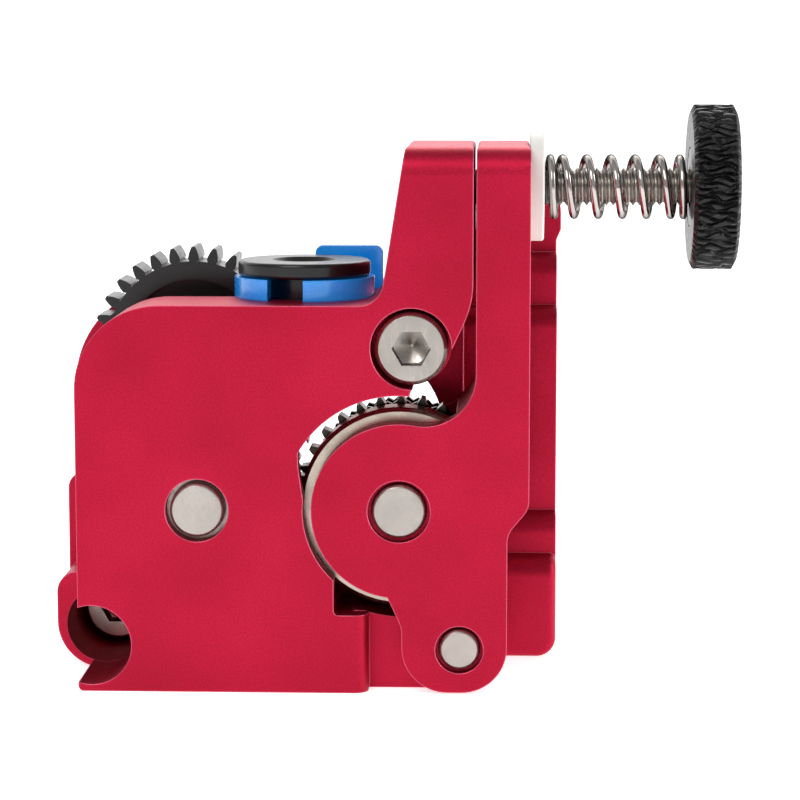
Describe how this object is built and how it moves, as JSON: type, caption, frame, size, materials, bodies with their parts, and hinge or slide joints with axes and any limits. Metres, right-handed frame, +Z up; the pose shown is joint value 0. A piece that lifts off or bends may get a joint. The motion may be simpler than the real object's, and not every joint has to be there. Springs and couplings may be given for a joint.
{
  "type": "extruder gear assembly",
  "caption": "Dual-drive filament extruder in red anodised aluminium with a sprung idler arm, steel drive gears, black compound gear, tube fitting and thumb screw.",
  "frame": {"origin": "centre of the motor pilot bore, on the motor mounting face", "axes": "+X across towards the thumb knob, +Y back along the motor axis towards the motor, +Z up along the filament path"},
  "size_m": [0.0518, 0.028, 0.0435],
  "materials": {
    "red_anodised": "satin anodised",
    "steel": "ground",
    "hardened_steel": "machined",
    "stainless_screw": "satin",
    "spring_steel": "polished",
    "black_polymer": "moulded, satin",
    "black_knob": "moulded, knurled",
    "blue_polymer": "gloss",
    "white_nylon": "matte"
  },
  "bodies": {
    "housing": {"front_housing": "red_anodised", "rear_housing": "red_anodised", "drive_bearing_outer_rings": "steel", "drive_bearing_balls": "spring_steel", "pinion_bearing_outer_rings": "steel", "pinion_bearing_balls": "spring_steel", "pivot_pin": "steel", "tension_nut": "stainless_screw", "collet_ring": "steel", "collet_clip": "blue_polymer", "housing_screw": "stainless_screw", "motor_screw_lower": "stainless_screw", "motor_screw_upper": "stainless_screw", "dowel_pins": "steel"},
    "arm": {"idler_arm": "red_anodised", "spring_washer": "white_nylon", "tension_spring": "spring_steel"},
    "idler_axle": {"idler_shaft": "steel"},
    "idler": {"idler_wheel": "hardened_steel", "idler_needle_rollers": "steel"},
    "drive": {"drive_shaft": "steel", "drive_wheel": "hardened_steel", "drive_grub_screw": "hardened_steel", "drive_bearing_inner_rings": "steel"},
    "compound": {"compound_gear": "black_polymer", "pinion_shaft": "hardened_steel", "pinion_bearing_inner_rings": "steel"},
    "knob_seat": {"knob_washer": "black_polymer"},
    "thumb_screw": {"tension_screw": "stainless_screw", "thumb_knob": "black_knob"},
    "collet": {"tube_collet": "black_polymer"}
  },
  "joints": [
    {"name": "drive_spin", "type": "hinge", "parent": "housing", "child": "drive", "pos_m": [-0.0075, -0.024, -0.00525], "axis": [0, 1, 0], "continuous": true},
    {"name": "compound_spin", "type": "hinge", "parent": "housing", "child": "compound", "pos_m": [-0.00901, -0.024, 0.00539], "axis": [0, 1, 0], "continuous": true},
    {"name": "arm_swing", "type": "hinge", "parent": "housing", "child": "arm", "pos_m": [0.012, -0.024, -0.01565], "axis": [0, 1, 0], "range_deg": [0, 5], "stiffness_Nm_per_rad": 3.1, "springref_deg": -6.47, "deforming": ["tension_spring"]},
    {"name": "idler_roll", "type": "hinge", "parent": "arm", "child": "idler_axle", "pos_m": [0.0075, -0.024, -0.00525], "axis": [0, 1, 0], "range_deg": [-9, 1]},
    {"name": "idler_spin", "type": "hinge", "parent": "idler_axle", "child": "idler", "pos_m": [0.0075, -0.024, -0.00525], "axis": [0, 1, 0], "continuous": true},
    {"name": "thumb_turn", "type": "hinge", "parent": "knob_seat", "child": "thumb_screw", "pos_m": [0.02915, -0.0157, 0.01835], "axis": [1, 0, 0], "range_deg": [-1801, 1441]},
    {"name": "spring_seat", "type": "slide", "parent": "housing", "child": "knob_seat", "axis": [1, 0, 0], "range_m": [-0.0025, 0.002], "deforming": ["tension_spring"]},
    {"name": "collet_turn", "type": "hinge", "parent": "housing", "child": "collet", "pos_m": [0, -0.0157, 0.0128], "axis": [0, 0, 1], "continuous": true}
  ],
  "couplings": [
    {"joint": "compound_spin", "follows": "drive_spin", "ratio": -2.3077},
    {"joint": "idler_spin", "follows": "drive_spin", "ratio": -1},
    {"joint": "idler_roll", "follows": "arm_swing", "ratio": -1.58},
    {"joint": "thumb_turn", "follows": "spring_seat", "rad_per_m": 12566}
  ]
}
